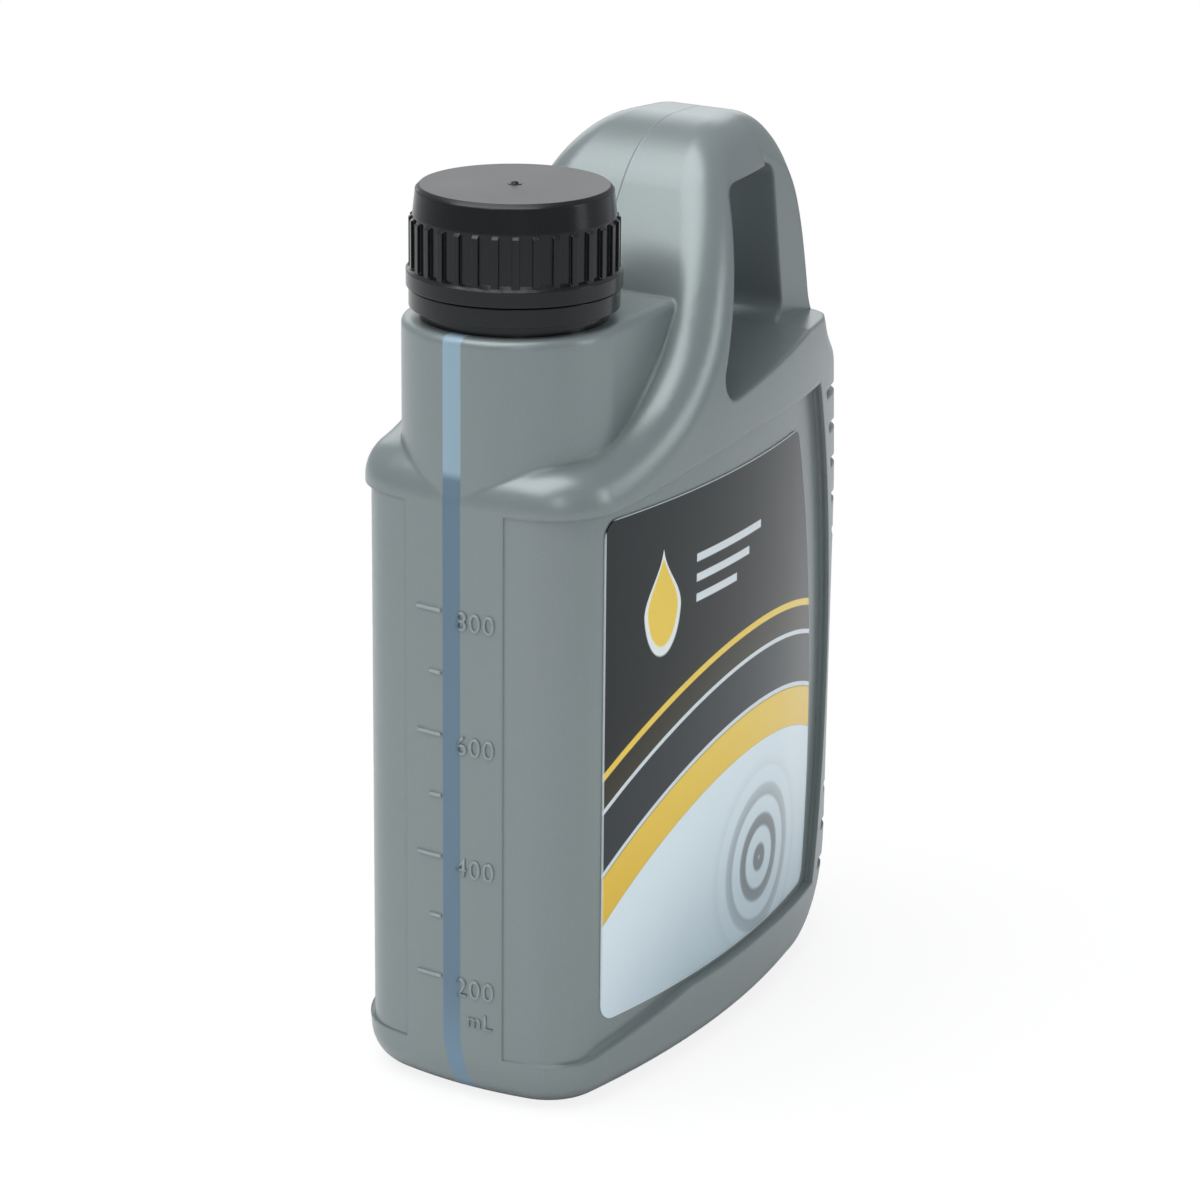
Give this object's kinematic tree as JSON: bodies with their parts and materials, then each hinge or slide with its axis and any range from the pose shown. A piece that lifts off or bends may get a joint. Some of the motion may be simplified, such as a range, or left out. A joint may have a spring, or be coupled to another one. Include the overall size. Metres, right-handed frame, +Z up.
{
  "type": "motor oil bottle",
  "caption": "Blow-moulded motor oil bottle with a hollow carrying handle, a view strip with graduations, and a ribbed screw cap that unscrews.",
  "frame": {"origin": "centre of the box round the bottle, on the ground it stands on", "axes": "+Z up along the neck's axis; -X towards the narrow front with the view strip and the neck, +X towards the gripping back; -Y towards the labelled broad side"},
  "size_m": [0.1384, 0.0672, 0.2069],
  "materials": {
    "bottle_plastic": "satin, slightly pearly grey",
    "cap_plastic": "satin black",
    "liner_foam": "white foam disc",
    "label_film": "printed film",
    "oil": "clear amber liquid"
  },
  "bodies": {
    "body": {"bottle": "bottle_plastic", "tamper_band": "cap_plastic", "front_label": "label_film", "oil_fill": "oil"},
    "carrier": {"cap_liner": "liner_foam"},
    "cap": {"screw_cap": "cap_plastic"}
  },
  "joints": [
    {"name": "cap_lift", "type": "slide", "parent": "body", "child": "carrier", "axis": [0, 0, 1], "range_m": [0, 0.0195]},
    {"name": "cap_turn", "type": "hinge", "parent": "carrier", "child": "cap", "pos_m": [-0.04457, 0, 0.19], "axis": [0, 0, 1], "range_deg": [0, 1561]}
  ],
  "couplings": [
    {"joint": "cap_turn", "follows": "cap_lift", "rad_per_m": 1396.3}
  ]
}
